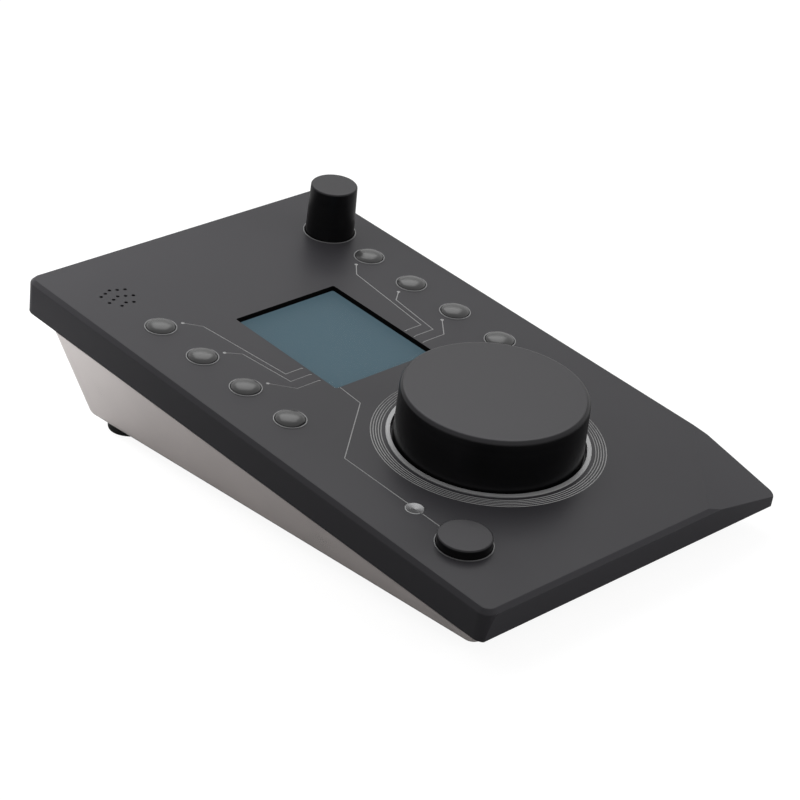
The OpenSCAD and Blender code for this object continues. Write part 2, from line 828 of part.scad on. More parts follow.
// The cable: a plug on each board and a flat run between them.
module board_cable() {
    low = con_z + con_t;
    board_under = -board_top - board_t;
    upper_y = cable_panel_y * cos(tilt) - (board_under - plug_h) * sin(tilt) - mid_y;
    upper_z = cable_panel_y * sin(tilt) + (board_under - plug_h) * cos(tilt) + lift;
    run = [upper_y - cable_y, upper_z - low - plug_h];
    color("#3a3a3e") {
        translate([0, cable_y, 0]) block(plug_w, plug_d, low, low + plug_h);
        on_panel() translate([0, cable_panel_y, 0]) block(plug_w, plug_d, board_under - plug_h, board_under);
        translate([0, cable_y, low + plug_h]) rotate([-atan2(run[0], run[1]), 0, 0])
            block(cable_w, cable_t, -cable_sink, norm(run) + cable_sink);
    }
}

// Volume knob and its encoder
module at_volume() {
    on_panel() translate([0, volume_y, 0]) children();
}

module volume_knob() {
    color("#3f3e41") at_volume() difference() {
        knob_body(volume_r, volume_r - volume_taper, -knob_foot, volume_h, volume_edge);
        difference() {
            column(volume_r - knob_wall, -knob_foot - overrun, volume_h - knob_crown);
            column(knob_boss_r, insert_foot, volume_h);
        }
        column(insert_r, 0, insert_foot + insert_length);
    }
}

module volume_ring() {
    color("#b4b3b5") at_volume()
        trim_ring(volume_r + volume_gap, volume_ring_w, well_depth, volume_ring_rise);
}

module volume_insert() {
    color("#b08d4f") at_volume() difference() {
        column(insert_r, insert_foot, insert_foot + insert_length);
        column(shaft_r, 0, insert_foot + insert_length - insert_end);
    }
}

module volume_encoder() {
    color("#2a2c30") at_volume() difference() {
        union() {
            column(encoder_r, -encoder_end, -plate_t);
            column(bushing_r, -encoder_end, bushing_rise);
        }
        column(shaft_r + shaft_gap, -shaft_foot - face_gap, bushing_rise + overrun);
    }
}

module volume_shaft() {
    color("#c9c9c9") at_volume() column(shaft_r, -shaft_foot, insert_foot + insert_length - insert_end);
}

module volume_washer() {
    color("#c9c9c9") at_volume() difference() {
        column(washer_r, -well_depth, -well_depth + washer_t);
        column(bushing_r + seat_gap, -plate_t, bushing_rise);
    }
}

module volume_nut() {
    low = -well_depth + washer_t;
    color("#d8c27a") at_volume() difference() {
        translate([0, 0, low]) cylinder(r = nut_r, h = nut_t, $fn = 6);
        column(bushing_r + seat_gap / 2, -plate_t, plate_t);
    }
}

// Select knob and its encoder
module at_select() {
    on_panel() translate([select_x, select_y, 0]) children();
}

module select_knob() {
    color("#3f3e41") at_select() difference() {
        knob_body(select_r, select_r - select_taper, -select_foot, select_h, select_edge);
        column(select_r - select_wall, -select_foot - overrun, select_pocket_h);
        column(select_insert_r, 0, select_pocket_h + select_insert_length);
    }
}

module select_ring() {
    color("#b4b3b5") at_select()
        trim_ring(select_r + select_gap, small_ring_w, small_ring_depth, small_ring_rise);
}

module select_insert() {
    color("#b08d4f") at_select() difference() {
        column(select_insert_r, select_pocket_h, select_pocket_h + select_insert_length);
        column(shaft_r, 0, select_pocket_h + select_insert_length - insert_end);
    }
}

module select_encoder() {
    cavity_top = -select_shaft_foot + plunger_room;
    cavity_foot = -select_shaft_foot - face_gap - select_plunger_t - select_travel - face_gap;
    color("#2a2c30") at_select() difference() {
        union() {
            block(select_body_w, select_body_w, -encoder_end, -plate_t);
            column(select_bushing_r, -encoder_end, select_bushing_rise);
        }
        column(shaft_r + shaft_gap, -select_shaft_foot, select_bushing_rise + overrun);
        column(select_plunger_r + stem_gap, cavity_foot, cavity_top);
    }
}

module select_shaft() {
    color("#c9c9c9") at_select()
        column(shaft_r, -select_shaft_foot, select_pocket_h + select_insert_length - insert_end);
}

module select_plunger() {
    top = -select_shaft_foot - face_gap;
    color("#e8e4da") at_select() column(select_plunger_r, top - select_plunger_t, top);
}

module select_washer() {
    color("#c9c9c9") at_select() difference() {
        column(select_washer_r, -well_depth, -well_depth + select_washer_t);
        column(select_bushing_r + seat_gap, -plate_t, select_bushing_rise);
    }
}

module select_nut() {
    low = -well_depth + select_washer_t;
    color("#d8c27a") at_select() difference() {
        translate([0, 0, low]) cylinder(r = select_nut_r, h = select_nut_t, $fn = 6);
        column(select_bushing_r + seat_gap / 2, -plate_t, plate_t);
    }
}

// Talk button
cap_flange_top = -plate_t - cap_flange_rise;
cap_flange_foot = cap_flange_top - cap_flange_t;

module talk_button() {
    stem_foot = -board_top + talk_switch_h - stem_bite;
    color("#3f3e41") on_panel() translate([-talk_x, talk_y, 0]) {
        difference() {
            union() {
                knob_body(talk_r, talk_r, cap_flange_foot, talk_h, talk_edge);
                column(talk_r + talk_flange_w, cap_flange_foot, cap_flange_top);
            }
            column(talk_r - talk_wall, cap_flange_foot - overrun, talk_h - talk_crown);
        }
        column(talk_stem_r, stem_foot, talk_h - talk_crown);
    }
}

module talk_ring() {
    color("#b4b3b5") on_panel() translate([-talk_x, talk_y, 0])
        trim_ring(talk_r + panel_gap, small_ring_w, small_ring_depth, small_ring_rise);
}

module talk_switch() {
    top = -board_top + talk_switch_h;
    color("#202226") on_panel() translate([-talk_x, talk_y, 0]) difference() {
        block(talk_switch_w, talk_switch_w, -board_top, top);
        column(talk_stem_r + stem_gap, top - stem_bite - talk_travel - stem_gap, top + overrun);
    }
}

// Domed buttons
module at_button(side, row) {
    sign = side == "left" ? -1 : 1;
    on_panel() translate([sign * button_x, button_y - (row - 1) * button_pitch, 0]) children();
}

module domed_button(side, row) {
    stem_foot = -board_top + switch_h - stem_bite;
    color("#6a6a6c") at_button(side, row) {
        intersection() {
            translate([0, 0, button_rise + button_dome - dome_r]) sphere(dome_r);
            column(button_r, cap_flange_foot, button_rise + button_dome + overrun);
        }
        column(button_r + button_flange_w, cap_flange_foot, cap_flange_top);
        column(button_stem_r, stem_foot, cap_flange_top);
    }
}

module button_rings() {
    color("#b4b3b5") on_panel() at_places(BUTTON_PLACES)
        trim_ring(button_r + button_gap, small_ring_w, small_ring_depth, small_ring_rise);
}

module button_switch(side, row) {
    top = -board_top + switch_h;
    color("#202226") at_button(side, row) difference() {
        block(switch_w, switch_w, -board_top, top);
        column(button_stem_r + stem_gap, top - stem_bite - button_travel - stem_gap, top + overrun);
    }
}

// Microphone
module at_microphone() {
    on_panel() translate([-grille_x, grille_y, 0]) children();
}

module grille_cloth() {
    color("#101010") at_microphone() column(cloth_r, -plate_t - cloth_t, -plate_t);
}

module microphone_boot() {
    top = -plate_t - cloth_t;
    color("#181818") at_microphone() difference() {
        column(boot_r, -board_top, top);
        column(capsule_r + face_gap, top - capsule_sink - capsule_h, top + overrun);
    }
}

module microphone_capsule() {
    top = -plate_t - cloth_t - capsule_sink;
    color("#b8bcc0") at_microphone() column(capsule_r, top - capsule_h, top);
}

// Turned-metal disc with a raised rim round a shallow dish
module accent_disc() {
    inner = disc_r - disc_rim;
    color("#c9c8c6") on_panel() translate([-talk_x, disc_y, 0]) rotate_extrude()
        polygon([[0, -disc_t], [disc_r, -disc_t], [disc_r, disc_rise], [inner, disc_rise], [0, -disc_dish]]);
}

top_plate();
base_shell();
case_screws();
foot(-1, foot_front_y);  // foot_front_left
foot(1, foot_front_y);  // foot_front_right
foot(-1, foot_rear_y);  // foot_rear_left
foot(1, foot_rear_y);  // foot_rear_right
foot_screws();
ballast_plate();
ballast_screws();
display_lens();
display_module();
display_bracket();
display_screws();
display_ribbon();
control_board();
board_screws();
connector_board();
connector_screws();
network_jack();
board_cable();
volume_knob();
volume_ring();
volume_insert();
volume_encoder();
volume_shaft();
volume_washer();
volume_nut();
select_knob();
select_ring();
select_insert();
select_encoder();
select_shaft();
select_plunger();
select_washer();
select_nut();
talk_button();
talk_ring();
talk_switch();
button_rings();
microphone_capsule();
microphone_boot();
grille_cloth();
accent_disc();
for (side = SIDES) for (row = BUTTON_ROWS) {
    domed_button(side, row);
    button_switch(side, row);
}
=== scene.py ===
"""Looks of a desk remote control for audio gear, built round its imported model."""
import json
import math

import bmesh
import bpy
from bpy.props import FloatProperty, FloatVectorProperty, PointerProperty
from mathutils import Matrix, Vector


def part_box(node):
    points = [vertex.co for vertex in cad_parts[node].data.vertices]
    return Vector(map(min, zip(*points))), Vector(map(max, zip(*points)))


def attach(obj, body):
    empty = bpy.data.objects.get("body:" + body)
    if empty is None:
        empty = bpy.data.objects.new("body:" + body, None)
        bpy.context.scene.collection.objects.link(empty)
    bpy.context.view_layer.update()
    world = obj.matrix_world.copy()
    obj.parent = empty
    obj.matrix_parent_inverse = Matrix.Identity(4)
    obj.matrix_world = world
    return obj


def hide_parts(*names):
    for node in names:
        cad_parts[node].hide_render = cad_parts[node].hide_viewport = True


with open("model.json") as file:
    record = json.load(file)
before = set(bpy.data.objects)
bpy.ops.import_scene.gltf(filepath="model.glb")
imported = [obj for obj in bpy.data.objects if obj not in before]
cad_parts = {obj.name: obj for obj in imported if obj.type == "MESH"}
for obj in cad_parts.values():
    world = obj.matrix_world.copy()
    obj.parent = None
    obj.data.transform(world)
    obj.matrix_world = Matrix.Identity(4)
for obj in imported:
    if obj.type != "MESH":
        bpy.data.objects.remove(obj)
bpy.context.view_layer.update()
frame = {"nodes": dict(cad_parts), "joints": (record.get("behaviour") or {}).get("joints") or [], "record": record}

bl_info = {
    "name": "Desk Remote Control",
    "version": (1, 0, 0),
    "blender": (4, 5, 0),
    "location": "3D View > Sidebar > Remote",
    "description": "Dresses the packed model of a desk remote control with its surfaces and finishes",
    "category": "Object",
}

MM = 0.001

# How finely round pieces and softened edges are made
KNOB_SIDES = 192
TURN_SIDES = 128
SMALL_SIDES = 96
DOME_SIDES = 64
BEVEL_STEPS = 5
RIM_STEPS = 2

# In degrees: edges flatter than these are smoothed, or taken out where a face should be whole
SMOOTH_ANGLE = 30
PLATE_SMOOTH_ANGLE = 12
FLAT_ANGLE = 0.1

# How close two points are that count as one
MERGE = 0.003 * MM

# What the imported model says
NODES = frame["nodes"]
JOINTS = {joint["name"]: joint for joint in frame["joints"]}
BODIES = frame["record"]["behaviour"]["bodies"]
BODY_OF = {node: body for body, members in BODIES.items() for node in members}
SLOT_OF = {part["node"]: part["material_slot"] for part in frame["record"]["subparts"]}
BUTTONS = [f"button_{side}_{row}" for side in ("left", "right") for row in range(1, 5)]

# The plate's frame: X across, Y up its slope, Z out of its top face, from the volume knob's axis
PLATE_UP = Vector(JOINTS["volume_turn"]["axis"])
TILT = math.atan2(-PLATE_UP.y, PLATE_UP.z)
PLATE = Matrix.Translation(Vector(JOINTS["volume_turn"]["pos_m"])) @ Matrix.Rotation(TILT, 4, "X")


def points_of(node, place):
    """The points of a CAD node, measured in a frame."""
    inverse = place.inverted()
    return [inverse @ vertex.co for vertex in NODES[node].data.vertices]


def span(node, place=PLATE):
    """Lowest and highest corner of a CAD node, measured in a frame."""
    points = points_of(node, place)
    low = Vector([min(point[axis] for point in points) for axis in range(3)])
    high = Vector([max(point[axis] for point in points) for axis in range(3)])
    return low, high


def over(node):
    """The plate's frame, moved along the top face to the middle of a CAD node."""
    low, high = span(node)
    middle = (low + high) / 2
    return PLATE @ Matrix.Translation((middle.x, middle.y, 0))


# Selecting and shaping
def take(*pieces):
    """Closes edit mode and makes these pieces the only selected ones."""
    if bpy.context.object and bpy.context.object.mode != "OBJECT":
        bpy.ops.object.mode_set(mode="OBJECT")
    bpy.ops.object.select_all(action="DESELECT")
    for piece in pieces:
        piece.select_set(True)
        bpy.context.view_layer.objects.active = piece


def pick(piece, kind, test):
    """Opens a piece in edit mode and selects only its verts, edges or faces that pass a test."""
    take(piece)
    bpy.ops.object.mode_set(mode="EDIT")
    bpy.ops.mesh.select_mode(type={"verts": "VERT", "edges": "EDGE", "faces": "FACE"}[kind])
    bpy.ops.mesh.select_all(action="DESELECT")
    mesh = bmesh.from_edit_mesh(piece.data)
    for element in getattr(mesh, kind):
        if test(element):
            element.select_set(True)
    mesh.select_flush_mode()
    bmesh.update_edit_mesh(piece.data)


def everything(_):
    return True


def on_circle(radius, height):
    """A test for edges that lie on a circle about the Z axis."""
    def test(edge):
        return all(abs(math.hypot(vertex.co.x, vertex.co.y) - radius) < MERGE
                   and abs(vertex.co.z - height) < MERGE for vertex in edge.verts)
    return test


def settle(piece, place=Matrix.Identity(4)):
    """Closes edit mode and puts the piece's place into its mesh."""
    take(piece)
    piece.matrix_world = place @ piece.matrix_world
    bpy.ops.object.transform_apply(location=True, rotation=True, scale=True)
    return piece


def modify(piece, kind, **settings):
    """Adds a modifier with its settings and applies it."""
    take(piece)
    bpy.ops.object.modifier_add(type=kind)
    modifier = piece.modifiers[-1]
    for name, value in settings.items():
        setattr(modifier, name, value)
    bpy.ops.object.modifier_apply(modifier=modifier.name)


def smooth(piece, angle=SMOOTH_ANGLE):
    """Smooths across edges flatter than an angle in degrees, and keeps flat faces flat."""
    take(piece)
    bpy.ops.object.shade_smooth_by_angle(angle=math.radians(angle))
    modify(piece, "WEIGHTED_NORMAL", keep_sharp=True)
    return piece


def turned(name, outline, place, sides=TURN_SIDES):
    """A turned piece: a circle that is extruded along an outline of (radius, height, bevel) in metres.

    An outline that ends where it starts makes a ring. Any other starts and ends in a flat face."""
    is_ring = outline[0][:2] == outline[-1][:2]
    radius, height, _ = outline[0]
    take()
    bpy.ops.mesh.primitive_circle_add(vertices=sides, radius=radius, location=(0, 0, height),
                                      fill_type="NOTHING" if is_ring else "NGON")
    piece = bpy.context.object
    piece.name = piece.data.name = name
    bpy.ops.object.mode_set(mode="EDIT")
    bpy.ops.mesh.select_all(action="SELECT")
    for (start, foot, _), (end, top, _) in zip(outline, outline[1:]):
        bpy.ops.mesh.extrude_region_move(TRANSFORM_OT_translate={"value": (0, 0, top - foot)})
        bpy.ops.transform.resize(value=(end / start, end / start, 1), center_override=(0, 0, top))
    bpy.ops.mesh.select_all(action="SELECT")
    bpy.ops.mesh.remove_doubles(threshold=MERGE)
    bpy.ops.mesh.normals_make_consistent(inside=False)
    settle(piece)
    for radius, height, bevel in outline[1:]:
        if bevel:
            pick(piece, "edges", on_circle(radius, height))
            bpy.ops.mesh.bevel(offset=bevel, segments=BEVEL_STEPS, affect="EDGES")
    return settle(piece, place)


def copy_of(node, name):
    """A merged copy of a CAD node's mesh, with its flat faces made whole."""
    piece = bpy.data.objects.new(name, NODES[node].data.copy())
    bpy.context.scene.collection.objects.link(piece)
    piece.data.name = name
    piece.data.materials.clear()
    take(piece)
    bpy.ops.mesh.customdata_custom_splitnormals_clear()
    pick(piece, "verts", everything)
    bpy.ops.mesh.remove_doubles(threshold=MERGE)
    bpy.ops.mesh.dissolve_limited(angle_limit=math.radians(FLAT_ANGLE))
    return settle(piece)


def dress(piece, material, *nodes, body=None, slot=None):
    """Gives a piece its material, and lets it stand for CAD nodes and ride with them."""
    piece.data.materials.append(material)
    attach(piece, body or BODY_OF[nodes[0]])
    if nodes:
        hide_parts(*nodes)


# Finishes
BLACK = (0, 0, 0, 1)
WHITE = (1, 1, 1, 1)

# The colour sockets of Blender's mix node
MIX_FIRST = 6
MIX_SECOND = 7
MIX_RESULT = 2


def scaled(colour, factor):
    """A colour made darker or lighter, as a shader takes it."""
    return [min(1, channel * factor) for channel in colour[:3]] + [1]


class Signal:
    """A value in a node tree, which Python's operators work on."""

    def __init__(self, tree, socket):
        self.tree = tree
        self.socket = socket

    def math(self, operation, *values):
        return self.tree.node("ShaderNodeMath", {"operation": operation}, dict(enumerate(values)))

    def __add__(self, other):
        return self.math("ADD", self, other)

    __radd__ = __add__

    def __sub__(self, other):
        return self.math("SUBTRACT", self, other)

    def __mul__(self, other):
        return self.math("MULTIPLY", self, other)

    def __pow__(self, other):
        return self.math("POWER", self, other)


class Tree:
    """A node tree that is filled node by node."""

    def __init__(self, tree):
        self.tree = tree

    def node(self, kind, settings=None, inputs=None, output=0):
        """Adds a node with its settings, then its sockets' values or links, and returns one output."""
        node = self.tree.nodes.new(kind)
        for name, value in (settings or {}).items():
            setattr(node, name, value)
        for name, value in (inputs or {}).items():
            self.feed(node.inputs[name], value)
        return Signal(self, node.outputs[output])

    def feed(self, socket, value):
        if isinstance(value, Signal):
            self.tree.links.new(value.socket, socket)
        else:
            socket.default_value = value

    def mix(self, factor, first, second):
        """A colour between two others."""
        return self.node("ShaderNodeMix", {"data_type": "RGBA"},
                         {0: factor, MIX_FIRST: first, MIX_SECOND: second}, MIX_RESULT)


class Finish(Tree):
    """A material with one main shader, whose sockets take constants or signals."""

    def __init__(self, name, **sockets):
        self.material = bpy.data.materials.new(name)
        self.material.use_nodes = True
        super().__init__(self.material.node_tree)
        self.shader = self.tree.nodes["Principled BSDF"]
        self.set(**sockets)

    def set(self, **sockets):
        """Sets the main shader's sockets, named in lower case with underscores."""
        for socket in self.shader.inputs:
            key = socket.name.lower().replace(" ", "_")
            if key in sockets:
                self.feed(socket, sockets[key])

    def place(self, frame_of=Matrix.Identity(4)):
        """Object coordinates, seen from a frame."""
        where = self.node("ShaderNodeTexCoord", output="Object")
        shift, turn = frame_of.translation, frame_of.to_euler()
        return self.node("ShaderNodeMapping", {"vector_type": "TEXTURE"},
                         {"Vector": where, "Location": shift, "Rotation": turn})

    def axes(self, where):
        """The three parts of a place."""
        return [self.node("ShaderNodeSeparateXYZ", {}, {0: where}, axis) for axis in ("X", "Y", "Z")]

    def noise(self, where, size, detail=2):
        """Smooth noise from 0 to 1, with patches of about a size in metres."""
        return self.node("ShaderNodeTexNoise", {},
                         {"Vector": where, "Scale": 1 / size, "Detail": detail}, "Fac")

    def tinted(self, colour, amount, spread):
        """A colour that varies a little, by a signal from 0 to 1."""
        return self.mix(amount, scaled(colour, 1 - spread), scaled(colour, 1 + spread))

    def uneven(self, middle, *swings):
        """A value round a middle, which each signal from 0 to 1 moves by up to half its swing."""
        return sum(((signal - 0.5) * swing for signal, swing in swings), middle)

    def bumped(self, height, distance):
        """A normal that follows a height from 0 to 1, over a distance in metres."""
        return self.node("ShaderNodeBump", {}, {"Height": height, "Distance": distance, "Strength": 1.0},
                         "Normal")


def blasted(name, colour, metallic, roughness, specular=0.5, grain=0.12 * MM, depth=0.004 * MM):
    """Bead-blasted and anodised metal: fine grains, and faint clouds in its tone and gloss."""
    finish = Finish(name, metallic=metallic, specular_ior_level=specular)
    where = finish.place()
    clouds = finish.noise(where, size=24 * MM)
    grains = finish.noise(where, size=grain)
    finish.set(base_color=finish.tinted(colour, clouds, spread=0.05),
               roughness=finish.uneven(roughness, (clouds, 0.08), (grains, 0.06)),
               normal=finish.bumped(grains, depth))
    return finish.material


def lathed(name, colour, metallic, roughness, centre, pitch=0.16 * MM, depth=0.002 * MM):
    """Turned metal: fine grooves round an axis, of uneven depth and gloss."""
    finish = Finish(name, metallic=metallic)
    where = finish.place(centre)
    across, along, up = finish.axes(where)
    radius = (across * across + along * along) ** 0.5
    travel = finish.node("ShaderNodeCombineXYZ", {}, {"X": radius, "Y": up})
    grooves = finish.noise(travel, size=pitch, detail=1)
    bands = finish.noise(travel, size=1.4 * MM, detail=1)
    finish.set(base_color=finish.tinted(colour, bands, spread=0.05),
               roughness=finish.uneven(roughness, (grooves, 0.12), (bands, 0.06)),
               normal=finish.bumped(grooves, depth))
    return finish.material


def moulded(name, colour, roughness, specular=0.5):
    """Moulded plastic, rubber or paint with a fine grain."""
    finish = Finish(name, specular_ior_level=specular)
    where = finish.place()
    grains = finish.noise(where, size=0.25 * MM, detail=3)
    clouds = finish.noise(where, size=9 * MM)
    finish.set(base_color=finish.tinted(colour, clouds, spread=0.08),
               roughness=finish.uneven(roughness, (grains, 0.1)),
               normal=finish.bumped(grains, 0.006 * MM))
    return finish.material


def machined(name, colour, roughness, grain=0.3 * MM):
    """Plated or bright steel and brass, with faint drawn marks along the piece."""
    finish = Finish(name, metallic=1.0)
    where = finish.place()
    drawn_out = (1, 1, 0.12)
    stretched = finish.node("ShaderNodeVectorMath", {"operation": "MULTIPLY"}, {0: where, 1: drawn_out})
    marks = finish.noise(stretched, size=grain, detail=3)
    stains = finish.noise(where, size=5 * MM)
    finish.set(base_color=finish.tinted(colour, stains, spread=0.08),
               roughness=finish.uneven(roughness, (marks, 0.14), (stains, 0.1)),
               normal=finish.bumped(marks, 0.002 * MM))
    return finish.material


def enamelled(name, colour, mesh_size):
    """A circuit board's solder mask over a faint lattice of copper tracks and glass cloth."""
    finish = Finish(name, coat_weight=0.4)
    where = finish.place(PLATE)
    tracks = finish.node("ShaderNodeTexBrick", {"offset": 0.5, "squash": 1.0},
                         {"Vector": where, "Scale": 1 / mesh_size, "Mortar Size": 0.02,
                          "Color1": BLACK, "Color2": BLACK, "Mortar": WHITE}, "Fac")
    clouds = finish.noise(where, size=14 * MM)
    over_copper = scaled(colour, 1.7)
    finish.set(base_color=finish.mix(tracks, finish.tinted(colour, clouds, spread=0.1), over_copper),
               roughness=finish.uneven(0.4, (clouds, 0.1)),
               normal=finish.bumped(tracks, 0.02 * MM))
    return finish.material


def woven(name, colour, pitch):
    """Thin open cloth: two sets of crossing threads."""
    finish = Finish(name, sheen_weight=0.3)
    across, along, _ = finish.axes(finish.place(PLATE))
    threads = [axis.math("SINE", axis * (2 * math.pi / pitch)) for axis in (across, along)]
    weave = threads[0] * threads[1] * 0.5 + 0.5
    finish.set(base_color=finish.tinted(colour, weave, spread=0.4), roughness=0.9,
               normal=finish.bumped(weave, 0.05 * MM))
    return finish.material


def glazed(name, colour):
    """The clear window over the screen, coated against glare, with a faintly uneven gloss."""
    finish = Finish(name, transmission_weight=1.0, ior=1.03)
    clouds = finish.noise(finish.place(), size=12 * MM)
    finish.set(base_color=finish.tinted(colour, clouds, spread=0.01), roughness=clouds * 0.03 + 0.02)
    return finish.material


def backlit(name, colour, place, half_width, half_depth):
    """A lit screen without a picture: even in the middle, with painted shade darkening it towards its edges, where
    the window's walls shade it.
    """
    finish = Finish(name, roughness=0.4, specular_ior_level=0.0, emission_strength=1.0)
    where = finish.place(place)
    across, along, _ = finish.axes(where)
    edges = [(axis * (1 / half)) ** 2 for axis, half in ((across, half_width), (along, half_depth))]
    # Painted shade: the screen's light fades towards its edges, as if shaded by the window's walls
    rim_shade = (edges[0] * edges[0] + edges[1] * edges[1]) * 0.5
    cells = finish.noise(where, size=0.2 * MM)
    shade = finish.mix(rim_shade, finish.tinted(colour, cells, spread=0.02), scaled(colour, 0.8))
    finish.set(base_color=(0.01, 0.01, 0.01, 1), emission_color=shade)
    return finish.material


# What a user would change
def length_setting(name, description, default):
    return FloatProperty(name=name, description=description, default=default, min=0, unit="LENGTH")


def light_setting(name, description, default):
    return FloatProperty(name=name, description=description, default=default, min=0)


def colour_setting(name, description, default):
    return FloatVectorProperty(name=name, description=description, default=default, min=0, max=1,
                               subtype="COLOR")


class RemoteSizes(bpy.types.PropertyGroup):
    knob_taper: length_setting("Knob taper", "How much narrower the volume knob is at its top", 0.4 * MM)
    knob_edge: length_setting("Knob edge", "Radius of the volume knob's top edge", 1.6 * MM)
    knob_wall: length_setting("Knob wall", "Wall of the volume knob", 4 * MM)
    knob_crown: length_setting("Knob crown", "Thickness of the volume knob's top", 5.2 * MM)
    knob_boss: length_setting("Knob boss", "Radius of the boss in the volume knob", 7.5 * MM)
    select_taper: length_setting(
        "Select knob taper", "How much narrower the select knob is at its top", 0.5 * MM)
    select_edge: length_setting("Select knob edge", "Radius of the select knob's top edge", 0.6 * MM)
    select_wall: length_setting("Select knob wall", "Wall of the select knob at its foot", 2 * MM)
    select_pocket: length_setting(
        "Select knob pocket", "Height of the select knob's pocket above the plate", 3.5 * MM)
    cap_edge: length_setting("Talk button edge", "Radius of the talk button's top edge", 0.6 * MM)
    cap_radius: length_setting(
        "Talk button radius", "Radius of the talk button above its flange", 9.2 * MM)
    cap_crown: length_setting("Talk button crown", "Thickness of the talk button's top", 2 * MM)
    cap_wall: length_setting("Talk button wall", "Wall of the talk button", 2.2 * MM)
    cap_stem: length_setting("Talk button stem", "Radius of the talk button's stem", 2.5 * MM)
    dome_radius: length_setting(
        "Domed button radius", "Radius of a domed button above its flange", 5.3 * MM)
    dome_height: length_setting("Dome height", "Height of a domed button's dome", 1.7 * MM)
    dome_stem: length_setting("Domed button stem", "Radius of a domed button's stem", 1.6 * MM)
    flange: length_setting("Button flange", "Thickness of the flanges under the plate", 1.1 * MM)
    flange_top: length_setting(
        "Flange depth", "Depth of the flanges' tops under the plate's top face", 4.15 * MM)


class RemoteColours(bpy.types.PropertyGroup):
    plate: colour_setting("Plate", "Anodised top plate", (0.032, 0.031, 0.0345))
    knobs: colour_setting("Knobs", "Anodised knobs and talk button", (0.026, 0.0255, 0.027))
    domes: colour_setting("Domed buttons", "Domed buttons", (0.038, 0.038, 0.038))
    base: colour_setting("Base", "Satin base", (0.88, 0.82, 0.8))
    engraving: colour_setting("Engraving", "Paint in the engraved lines", (0.42, 0.42, 0.42))
    screen: colour_setting("Screen", "Light of the screen", (0.08, 0.13, 0.158))


class RemoteStudio(bpy.types.PropertyGroup):
    rear_power: light_setting("Rear lamp power", "Watts of the soft lamp behind on the right", 5.0)
    rear_size: length_setting("Rear lamp size", "Side of the soft lamp behind on the right", 0.8)
    side_power: light_setting("Side lamp power", "Watts of the low lamp behind on the left", 0.5)
    side_size: length_setting("Side lamp size", "Side of the low lamp behind on the left", 0.15)
    front_power: light_setting("Front lamp power", "Watts of the low lamp in front", 7.0)
    front_size: length_setting("Front lamp size", "Side of the low lamp in front", 0.6)
    room_light: light_setting("Room light", "Strength of the room's own light", 0.5)


# The stage
# Places are in metres from the object's middle on the floor, and azimuth 0 is its front
CAMERA_AIM = Vector((1.2, -4.2, 30.3)) * MM
CAMERA_AZIMUTH = math.radians(-42.35)
CAMERA_ELEVATION = math.radians(24.98)
CAMERA_DISTANCE = 916.5 * MM
CAMERA_LENS = 116.82
REAR_AZIMUTH = math.radians(137)
REAR_ELEVATION = math.radians(58)
REAR_DISTANCE = 1.2
SIDE_AZIMUTH = math.radians(-160)
SIDE_ELEVATION = math.radians(25)
SIDE_DISTANCE = 0.28
FRONT_AZIMUTH = math.radians(40)
FRONT_ELEVATION = math.radians(6)
FRONT_DISTANCE = 1.0
FLOOR_SIDE = 8.0
FLOOR_WHITE = (0.9, 0.9, 0.9, 1)
FLOOR_BOUNCE = (0.34, 0.34, 0.34, 1)
FLOOR_GLOW = 1.12
FLOOR_GLOW_SHARE = 0.8


def towards(azimuth, elevation):
    """A direction from the object, where azimuth 0 is its front."""
    return Vector((math.sin(azimuth) * math.cos(elevation),
                   -math.cos(azimuth) * math.cos(elevation), math.sin(elevation)))


def add_lamp(name, place, size, power, in_gloss=True):
    """A square soft lamp that points at the object, and that gloss shows or not."""
    aim = place.to_track_quat("Z", "Y").to_euler()
    bpy.ops.object.light_add(type="AREA", location=place, rotation=aim)
    lamp = bpy.context.object
    lamp.name = name
    lamp.data.size = size
    lamp.data.energy = power
    lamp.visible_glossy = in_gloss


class REMOTE_OT_stage(bpy.types.Operator):
    """Sets up the floor, the soft light and the camera"""
    bl_idname = "remote.stage"
    bl_label = "Stage"

    def execute(self, context):
        studio = context.scene.remote_studio
        take()
        bpy.ops.mesh.primitive_plane_add(size=FLOOR_SIDE)
        floor = context.object
        floor.name = "floor"
        floor.data.materials.append(pale_floor())
        add_lamp("rear_lamp", towards(REAR_AZIMUTH, REAR_ELEVATION) * REAR_DISTANCE,
                 studio.rear_size, studio.rear_power)
        add_lamp("side_lamp", towards(SIDE_AZIMUTH, SIDE_ELEVATION) * SIDE_DISTANCE,
                 studio.side_size, studio.side_power, in_gloss=False)
        add_lamp("front_lamp", towards(FRONT_AZIMUTH, FRONT_ELEVATION) * FRONT_DISTANCE,
                 studio.front_size, studio.front_power, in_gloss=False)
        light_room(context.scene, studio.room_light)
        back = towards(CAMERA_AZIMUTH, CAMERA_ELEVATION)
        bpy.ops.object.camera_add(location=CAMERA_AIM + back * CAMERA_DISTANCE,
                                  rotation=back.to_track_quat("Z", "Y").to_euler())
        context.object.data.lens = CAMERA_LENS
        context.scene.camera = context.object
        context.scene.view_settings.view_transform = "Standard"
        return {"FINISHED"}


def seen_ray(tree, *kinds):
    """1 for rays of these kinds, and 0 for others."""
    path = [tree.node("ShaderNodeLightPath", output=kind) for kind in kinds]
    seen = path[0]
    for other in path[1:]:
        seen = seen.math("MAXIMUM", seen, other)
    return seen


